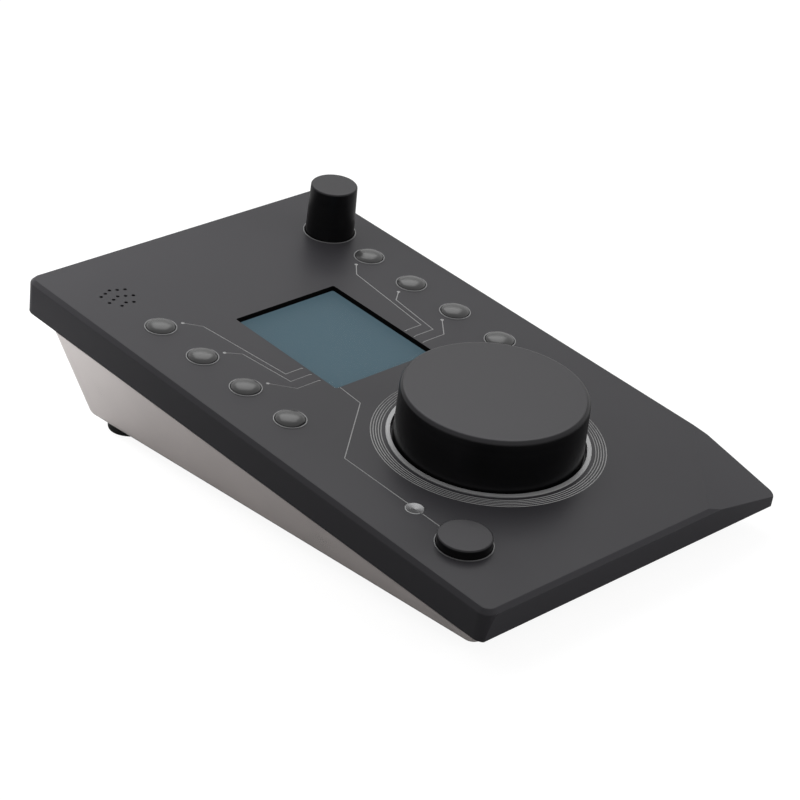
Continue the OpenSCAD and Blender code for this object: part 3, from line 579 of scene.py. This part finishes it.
def pale_floor():
    """A white floor that keeps a light shadow, and throws back less light than it shows."""
    finish = Finish("pale_floor")
    bounce = finish.node("ShaderNodeBsdfDiffuse", {}, {"Color": FLOOR_BOUNCE}, "BSDF")
    matt = finish.node("ShaderNodeBsdfDiffuse", {}, {"Color": FLOOR_WHITE}, "BSDF")
    glow = finish.node("ShaderNodeEmission", {}, {"Color": WHITE, "Strength": FLOOR_GLOW}, "Emission")
    shown = finish.node("ShaderNodeMixShader", {}, {0: FLOOR_GLOW_SHARE, 1: matt, 2: glow}, "Shader")
    in_camera = seen_ray(finish, "Is Camera Ray")
    whole = finish.node("ShaderNodeMixShader", {}, {0: in_camera, 1: bounce, 2: shown}, "Shader")
    finish.feed(finish.tree.nodes["Material Output"].inputs["Surface"], whole)
    return finish.material


def light_room(scene, strength):
    """A dim even room, which shows white to the camera, in gloss and through glass."""
    scene.world = bpy.data.worlds.new("room")
    scene.world.use_nodes = True
    tree = Tree(scene.world.node_tree)
    seen = seen_ray(tree, "Is Camera Ray", "Is Glossy Ray", "Is Transmission Ray")
    room = scene.world.node_tree.nodes["Background"]
    tree.feed(room.inputs["Color"], WHITE)
    tree.feed(room.inputs["Strength"], seen * (1 - strength) + strength)


# The top plate
OUTER_EDGE = 2.5 * MM
PLATE_EDGE_ROUND = 0.25 * MM
ENGRAVING_DEPTH = 0.3 * MM
SHARP = math.radians(20)
# Near-black paint on the walls of the screen's window: painted shade, for walls that fall in shadow
WINDOW_WALL_SHADE_COLOUR = (0.003, 0.003, 0.003)

# How closely a face looks up the plate's normal: 1 for a level face, 0 for an upright one
LEVEL = 0.999
STEEP = 0.5


class REMOTE_OT_plate(bpy.types.Operator):
    """Makes the top plate, with broken edges, painted engraving and painted shade on the window's walls"""
    bl_idname = "remote.plate"
    bl_label = "Top plate"

    def execute(self, context):
        colours = context.scene.remote_colours
        low, high = span("top_plate")
        window_low, window_high = span("display_lens")
        inverse = PLATE.inverted()
        plate = copy_of("top_plate", "plate")

        def is_outer(edge):
            middle = inverse @ ((edge.verts[0].co + edge.verts[1].co) / 2)
            inset = min(middle.x - low.x, high.x - middle.x, middle.y - low.y, high.y - middle.y)
            return inset < OUTER_EDGE and edge.is_manifold and edge.calc_face_angle() > SHARP

        pick(plate, "edges", is_outer)
        bpy.ops.mesh.bevel(offset=PLATE_EDGE_ROUND, segments=RIM_STEPS, affect="EDGES")
        metal = blasted("plate_metal", colours.plate, metallic=0.0, roughness=0.4, specular=0.12)
        paint = moulded("engraving_paint", colours.engraving, roughness=0.6, specular=0.2)
        # Painted shade: the window's walls get near-black paint
        edge = moulded("window_edge", WINDOW_WALL_SHADE_COLOUR, roughness=0.8, specular=0.0)
        dress(plate, metal, "top_plate")
        plate.data.materials.append(paint)
        plate.data.materials.append(edge)

        def is_engraved(face):
            heights = [(inverse @ vertex.co).z for vertex in face.verts]
            lean = abs(face.normal @ PLATE_UP)
            is_square = lean > LEVEL or lean < 1 - LEVEL
            return is_square and max(heights) < MERGE and -ENGRAVING_DEPTH < min(heights) < -MERGE

        def is_window_wall(face):
            middle = inverse @ face.calc_center_median()
            across = window_low.x < middle.x < window_high.x and window_low.y < middle.y < window_high.y
            return across and abs(face.normal @ PLATE_UP) < STEEP

        for slot, test in ((1, is_engraved), (2, is_window_wall)):
            pick(plate, "faces", test)
            plate.active_material_index = slot
            bpy.ops.object.material_slot_assign()
        smooth(plate, PLATE_SMOOTH_ANGLE)
        return {"FINISHED"}


class REMOTE_OT_base(bpy.types.Operator):
    """Makes the satin base with its smooth rounded edges"""
    bl_idname = "remote.base"
    bl_label = "Base"

    def execute(self, context):
        base = smooth(copy_of("base_shell", "base"))
        metal = blasted("base_metal", context.scene.remote_colours.base, metallic=1.0, roughness=0.3)
        dress(base, metal, "base_shell")
        return {"FINISHED"}


# Knobs
FIT = 0.02 * MM
BREAK = 0.2 * MM


class REMOTE_OT_knobs(bpy.types.Operator):
    """Turns the volume knob and the select knob, each hollow over its brass insert"""
    bl_idname = "remote.knobs"
    bl_label = "Knobs"

    def execute(self, context):
        sizes = context.scene.remote_sizes
        colour = context.scene.remote_colours.knobs
        place = over("volume_knob")
        low, high = span("volume_knob", place)
        insert_low, insert_high = span("volume_insert", place)
        bore = insert_high.x + FIT
        outline = [
            (bore, insert_high.z + FIT, 0), (bore, insert_low.z, BREAK),
            (sizes.knob_boss, insert_low.z, BREAK), (sizes.knob_boss, high.z - sizes.knob_crown, BREAK),
            (high.x - sizes.knob_wall, high.z - sizes.knob_crown, BREAK),
            (high.x - sizes.knob_wall, low.z, BREAK), (high.x, low.z, BREAK),
            (high.x - sizes.knob_taper, high.z, sizes.knob_edge),
        ]
        knob = smooth(turned("volume_knob_body", outline, place, KNOB_SIDES))
        metal = lathed("volume_knob_metal", colour, metallic=1.0, roughness=0.34, centre=place)
        dress(knob, metal, "volume_knob")

        place = over("select_knob")
        low, high = span("select_knob", place)
        insert_low, insert_high = span("select_insert", place)
        bore = insert_high.x + FIT
        outline = [
            (bore, insert_high.z + FIT, 0), (bore, sizes.select_pocket, BREAK),
            (high.x - sizes.select_wall, sizes.select_pocket, BREAK),
            (high.x - sizes.select_wall, low.z, BREAK), (high.x, low.z, BREAK),
            (high.x - sizes.select_taper, high.z, sizes.select_edge),
        ]
        knob = smooth(turned("select_knob_body", outline, place))
        metal = lathed("select_knob_metal", colour, metallic=1.0, roughness=0.34, centre=place)
        dress(knob, metal, "select_knob")
        return {"FINISHED"}


# Buttons
DOME_STEPS = 14
DOME_PIP = 0.15 * MM


class REMOTE_OT_talk_button(bpy.types.Operator):
    """Turns the flat talk button with its flange and stem"""
    bl_idname = "remote.talk_button"
    bl_label = "Talk button"

    def execute(self, context):
        sizes = context.scene.remote_sizes
        place = over("talk_button")
        low, high = span("talk_button", place)
        flange_foot = -sizes.flange_top - sizes.flange
        wall = sizes.cap_radius - sizes.cap_wall
        outline = [
            (sizes.cap_stem, low.z, BREAK), (sizes.cap_stem, high.z - sizes.cap_crown, BREAK),
            (wall, high.z - sizes.cap_crown, BREAK), (wall, flange_foot, BREAK),
            (high.x, flange_foot, BREAK), (high.x, -sizes.flange_top, BREAK),
            (sizes.cap_radius, -sizes.flange_top, BREAK), (sizes.cap_radius, high.z, sizes.cap_edge),
        ]
        cap = smooth(turned("talk_cap", outline, place))
        colour = context.scene.remote_colours.knobs
        metal = lathed("talk_cap_metal", colour, metallic=1.0, roughness=0.36, centre=place)
        dress(cap, metal, "talk_button")
        return {"FINISHED"}


class REMOTE_OT_domed_buttons(bpy.types.Operator):
    """Turns one domed button and copies it to the eight places"""
    bl_idname = "remote.domed_buttons"
    bl_label = "Domed buttons"

    def execute(self, context):
        sizes = context.scene.remote_sizes
        low, high = span(BUTTONS[0], over(BUTTONS[0]))
        dome_foot = high.z - sizes.dome_height
        turns = [math.pi / 2 * step / DOME_STEPS for step in range(1, DOME_STEPS)]
        dome = [(sizes.dome_radius * math.cos(turn), dome_foot + sizes.dome_height * math.sin(turn), 0)
                for turn in turns]
        dome.append((DOME_PIP, high.z, 0))
        flange_foot = -sizes.flange_top - sizes.flange
        outline = [
            (sizes.dome_stem, low.z, BREAK), (sizes.dome_stem, flange_foot, BREAK),
            (high.x, flange_foot, BREAK), (high.x, -sizes.flange_top, BREAK),
            (sizes.dome_radius, -sizes.flange_top, BREAK), (sizes.dome_radius, dome_foot, 0),
        ] + dome
        pattern = turned("domed_button_pattern", outline, Matrix.Identity(4), DOME_SIDES)
        colour = context.scene.remote_colours.domes
        metal = blasted("domed_button_metal", colour, metallic=0.0, roughness=0.25, specular=0.4)
        for node in BUTTONS:
            cap = bpy.data.objects.new(node.replace("button", "domed_cap"), pattern.data.copy())
            context.scene.collection.objects.link(cap)
            dress(smooth(settle(cap, over(node))), metal, node)
        bpy.data.objects.remove(pattern)
        return {"FINISHED"}


# Bare-metal rings and disc
RING_BREAK = 0.1 * MM
RING_BREAK_SHARE = 0.2
RING_REACH = 12 * MM
DISC_RIM = 0.35 * MM
DISC_PIP = 0.05 * MM
BUTTON_RING_GREY = (0.17, 0.17, 0.172)
# Painted light and shade: the same bare metal gets a different grey for each ring, lighter for the volume ring and
# darker for the select and talk rings, as light falls on each
RING_PAINTED_LIGHT_GREYS = {
    "volume_ring": (0.3, 0.3, 0.303),
    "select_ring": (0.13, 0.13, 0.132),
    "talk_ring": (0.12, 0.12, 0.122),
}
DISC_GREY = (0.16, 0.16, 0.163)


def ring_size(node, place, reach=math.inf):
    """Inner and outer radius, foot and top of the ring of a CAD node that is round a place."""
    near = [point for point in points_of(node, place) if point.xy.length < reach]
    radii = [point.xy.length for point in near]
    heights = [point.z for point in near]
    return min(radii), max(radii), min(heights), max(heights)


def trim_ring(name, size, place):
    """A ring with softly broken top edges."""
    inner, outer, foot, top = size
    soft = min(RING_BREAK, (outer - inner) * RING_BREAK_SHARE)
    outline = [
        (inner, foot, 0), (outer, foot, 0), (outer, top, soft), (inner, top, soft), (inner, foot, 0),
    ]
    return smooth(turned(name, outline, place))


class REMOTE_OT_rings(bpy.types.Operator):
    """Turns the bare-metal rings round the knobs and the buttons"""
    bl_idname = "remote.rings"
    bl_label = "Rings"

    def execute(self, context):
        # Each ring takes its own grey, with painted light and shade in it
        for node, painted_light_grey in RING_PAINTED_LIGHT_GREYS.items():
            place = over(node)
            ring = trim_ring(node + "_trim", ring_size(node, place), place)
            metal = lathed(node + "_metal", painted_light_grey, metallic=0.3, roughness=0.45, centre=place)
            dress(ring, metal, node)
        metal = blasted("button_ring_metal", BUTTON_RING_GREY, metallic=0.5, roughness=0.45)
        for node in BUTTONS:
            place = over(node)
            size = ring_size("button_rings", place, RING_REACH)
            dress(trim_ring(node.replace("button", "ring"), size, place), metal, "button_rings")
        return {"FINISHED"}


class REMOTE_OT_disc(bpy.types.Operator):
    """Turns the small dished disc between the volume knob and the talk button"""
    bl_idname = "remote.disc"
    bl_label = "Disc"

    def execute(self, context):
        place = over("accent_disc")
        _, radius, foot, top = ring_size("accent_disc", place)
        dish = min(point.z for point in points_of("accent_disc", place)
                   if point.xy.length < DISC_RIM and point.z > foot + DISC_RIM)
        outline = [
            (radius, foot, 0), (radius, top, RING_BREAK), (radius - DISC_RIM, top, RING_BREAK),
            (DISC_PIP, dish, 0),
        ]
        disc = smooth(turned("disc", outline, place, SMALL_SIDES))
        metal = lathed("disc_metal", DISC_GREY, metallic=1.0, roughness=0.28, centre=place,
                       pitch=0.22 * MM, depth=0.006 * MM)
        dress(disc, metal, "accent_disc")
        return {"FINISHED"}


# The screen
LENS_LIP = 2.9 * MM
LENS_CORNER = 0.8 * MM
LENS_BREAK = 0.15 * MM
LENS_COLOUR = (0.95, 0.96, 0.97)
PANEL_LIP = 2 * MM
PANEL_BREAK = 0.075 * MM
PANEL_THICKNESS = 0.3 * MM


def slab(name, low, high, place, corner, soft):
    """A flat block between two corners, with rounded upright edges and softened rims."""
    take()
    size = high - low
    bpy.ops.mesh.primitive_cube_add(size=1, location=(low + high) / 2)
    piece = bpy.context.object
    piece.name = piece.data.name = name
    bpy.ops.transform.resize(value=size)
    settle(piece)
    pick(piece, "edges", lambda edge: abs(edge.verts[0].co.z - edge.verts[1].co.z) > size.z / 2)
    bpy.ops.mesh.bevel(offset=corner, segments=BEVEL_STEPS, affect="EDGES")
    pick(piece, "edges", lambda edge: abs(edge.verts[0].co.z - edge.verts[1].co.z) < MERGE)
    bpy.ops.mesh.bevel(offset=soft, segments=RIM_STEPS, affect="EDGES")
    return settle(piece, place)


class REMOTE_OT_screen(bpy.types.Operator):
    """Makes the screen's clear window and the lit panel behind it"""
    bl_idname = "remote.screen"
    bl_label = "Screen"

    def execute(self, context):
        low, high = span("display_lens")
        glass = smooth(slab("screen_window", low, high, PLATE, LENS_CORNER, LENS_BREAK))
        dress(glass, glazed("window_glass", LENS_COLOUR), "display_lens")
        inset = Vector((LENS_LIP - PANEL_LIP, LENS_LIP - PANEL_LIP, 0))
        _, module_top = span("display_module")
        panel_low = Vector((low.x, low.y, module_top.z)) + inset
        panel_high = Vector((high.x, high.y, module_top.z + PANEL_THICKNESS)) - inset
        panel = slab("screen_panel", panel_low, panel_high, PLATE, LENS_CORNER, PANEL_BREAK)
        half = (high - low) / 2
        lit = backlit("screen_light", context.scene.remote_colours.screen,
                      over("display_lens"), half.x - LENS_LIP, half.y - LENS_LIP)
        dress(smooth(panel), lit, body="root", slot=SLOT_OF["display_lens"])
        return {"FINISHED"}


# Feet and the rear socket
FOOT_RECESS = 2.95 * MM
FOOT_SINK = 2.3 * MM
FOOT_HOLE = 1.6 * MM
FOOT_EDGE = 1.2 * MM
PORT_FLOOR = 1.6 * MM
CONTACTS = 8
CONTACT_INSET = 3 * MM
CONTACT_PITCH = 1.02 * MM
CONTACT_WIDTH = 0.35 * MM
RUBBER_COLOUR = (0.008, 0.008, 0.008)
JACK_COLOUR = (0.5, 0.5, 0.5)
GOLD_COLOUR = (0.75, 0.53, 0.2)

# How far a contact rises and how far it runs into the socket, from bend to bend
CONTACT_STEPS = [(0, 2.2 * MM), (0.35 * MM, 0.5 * MM), (2.4 * MM, 4.2 * MM), (0.2 * MM, 0.9 * MM)]


class REMOTE_OT_feet(bpy.types.Operator):
    """Turns the rubber feet, each with a recess for its screw"""
    bl_idname = "remote.feet"
    bl_label = "Feet"

    def execute(self, context):
        rubber = moulded("foot_rubber", RUBBER_COLOUR, roughness=0.6, specular=0.15)
        for node in ("foot_front_left", "foot_front_right", "foot_rear_left", "foot_rear_right"):
            low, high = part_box(node)
            middle = (low + high) / 2
            radius = (high.x - low.x) / 2
            top = high.z
            outline = [
                (FOOT_HOLE, FOOT_SINK, 0), (FOOT_RECESS, FOOT_SINK, 0), (FOOT_RECESS, 0, BREAK),
                (radius, 0, FOOT_EDGE), (radius, top, BREAK), (FOOT_HOLE, top, 0),
                (FOOT_HOLE, FOOT_SINK, 0),
            ]
            foot = turned(node.replace("foot", "rubber_foot"), outline,
                          Matrix.Translation((middle.x, middle.y, 0)), SMALL_SIDES)
            dress(smooth(foot), rubber, node)
        return {"FINISHED"}


class REMOTE_OT_socket(bpy.types.Operator):
    """Dresses the rear socket and bends the eight gold contacts in it"""
    bl_idname = "remote.socket"
    bl_label = "Rear socket"

    def execute(self, context):
        jack = copy_of("network_jack", "socket_shell")
        pick(jack, "edges", lambda edge: edge.is_manifold and edge.calc_face_angle() > SHARP)
        bpy.ops.mesh.bevel(offset=BREAK, segments=RIM_STEPS, affect="EDGES")
        dress(smooth(settle(jack)), machined("jack_metal", JACK_COLOUR, roughness=0.32), "network_jack")
        low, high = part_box("network_jack")
        port_floor = low.z + PORT_FLOOR
        gold = machined("contact_gold", GOLD_COLOUR, roughness=0.22, grain=0.1 * MM)
        contacts = []
        for index in range(CONTACTS):
            place = Vector(((low.x + high.x) / 2 + (index - (CONTACTS - 1) / 2) * CONTACT_PITCH,
                            high.y - CONTACT_INSET, port_floor + CONTACT_WIDTH / 2))
            take()
            bpy.ops.mesh.primitive_plane_add(size=CONTACT_WIDTH, location=place,
                                             rotation=(math.radians(90), 0, 0))
            contact = context.object
            contact.name = contact.data.name = f"contact_{index + 1}"
            bpy.ops.object.mode_set(mode="EDIT")
            for rise, run in CONTACT_STEPS:
                bpy.ops.mesh.extrude_region_move(TRANSFORM_OT_translate={"value": (0, -run, rise)})
            bpy.ops.mesh.select_all(action="SELECT")
            bpy.ops.mesh.normals_make_consistent(inside=False)
            contacts.append(settle(contact))
        take(*contacts)
        bpy.ops.object.join()
        joined = context.object
        joined.name = joined.data.name = "socket_contacts"
        dress(smooth(joined), gold, body="root", slot=SLOT_OF["network_jack"])
        return {"FINISHED"}


# Everything that is carried over as it is
class REMOTE_OT_inner_pieces(bpy.types.Operator):
    """Gives every piece that is carried over its own finish"""
    bl_idname = "remote.inner_pieces"
    bl_label = "Inner pieces"

    def execute(self, context):
        finishes = {
            "screw_steel": machined("screw_steel", (0.45, 0.45, 0.46), roughness=0.3),
            "shaft_steel": machined("shaft_steel", (0.6, 0.6, 0.6), roughness=0.25),
            "ballast_steel": machined("ballast_steel", (0.3, 0.3, 0.31), roughness=0.45, grain=1.2 * MM),
            "insert_brass": machined("insert_brass", (0.66, 0.46, 0.18), roughness=0.28),
            "module_metal": machined("module_metal", (0.5, 0.5, 0.5), roughness=0.4),
            "board_green": enamelled("board_green", (0.012, 0.1, 0.035), mesh_size=2.5 * MM),
            "foot_rubber": moulded("boot_rubber", (0.015, 0.015, 0.015), roughness=0.6),
            "switch_plastic": moulded("switch_plastic", (0.02, 0.02, 0.022), roughness=0.5),
            "plunger_plastic": moulded("plunger_plastic", (0.7, 0.68, 0.62), roughness=0.45),
            "ribbon_film": moulded("ribbon_film", (0.42, 0.16, 0.03), roughness=0.3),
            "cable_plastic": moulded("cable_plastic", (0.045, 0.045, 0.05), roughness=0.5),
            "grille_fabric": woven("grille_fabric", (0.01, 0.01, 0.01), pitch=0.5 * MM),
        }
        for name, node in NODES.items():
            if node.hide_render:
                continue
            if not node.material_slots:
                node.data.materials.append(None)
            node.material_slots[0].material = finishes[SLOT_OF[name]]
        return {"FINISHED"}


OPERATORS = [
    REMOTE_OT_stage, REMOTE_OT_plate, REMOTE_OT_base, REMOTE_OT_knobs, REMOTE_OT_talk_button,
    REMOTE_OT_domed_buttons, REMOTE_OT_rings, REMOTE_OT_disc, REMOTE_OT_screen, REMOTE_OT_feet,
    REMOTE_OT_socket, REMOTE_OT_inner_pieces,
]
GROUPS = {"remote_sizes": RemoteSizes, "remote_colours": RemoteColours, "remote_studio": RemoteStudio}


class REMOTE_PT_pieces(bpy.types.Panel):
    """Lists the remote control's pieces, sizes and colours"""
    bl_idname = "REMOTE_PT_pieces"
    bl_label = "Remote Control"
    bl_space_type = "VIEW_3D"
    bl_region_type = "UI"
    bl_category = "Remote"

    def draw(self, context):
        for operator in OPERATORS:
            self.layout.operator(operator.bl_idname)
        for name, group in GROUPS.items():
            box = self.layout.box()
            for value in group.__annotations__:
                box.prop(getattr(context.scene, name), value)


def register():
    for kind in [*GROUPS.values(), *OPERATORS, REMOTE_PT_pieces]:
        bpy.utils.register_class(kind)
    for name, group in GROUPS.items():
        setattr(bpy.types.Scene, name, PointerProperty(type=group))


def unregister():
    for name in GROUPS:
        delattr(bpy.types.Scene, name)
    for kind in [REMOTE_PT_pieces, *reversed(OPERATORS), *reversed(GROUPS.values())]:
        bpy.utils.unregister_class(kind)


def main():
    register()
    bpy.ops.remote.stage()
    bpy.ops.remote.plate()
    bpy.ops.remote.base()
    bpy.ops.remote.knobs()
    bpy.ops.remote.talk_button()
    bpy.ops.remote.domed_buttons()
    bpy.ops.remote.rings()
    bpy.ops.remote.disc()
    bpy.ops.remote.screen()
    bpy.ops.remote.feet()
    bpy.ops.remote.socket()
    bpy.ops.remote.inner_pieces()
    take()


if __name__ == "__main__":
    main()
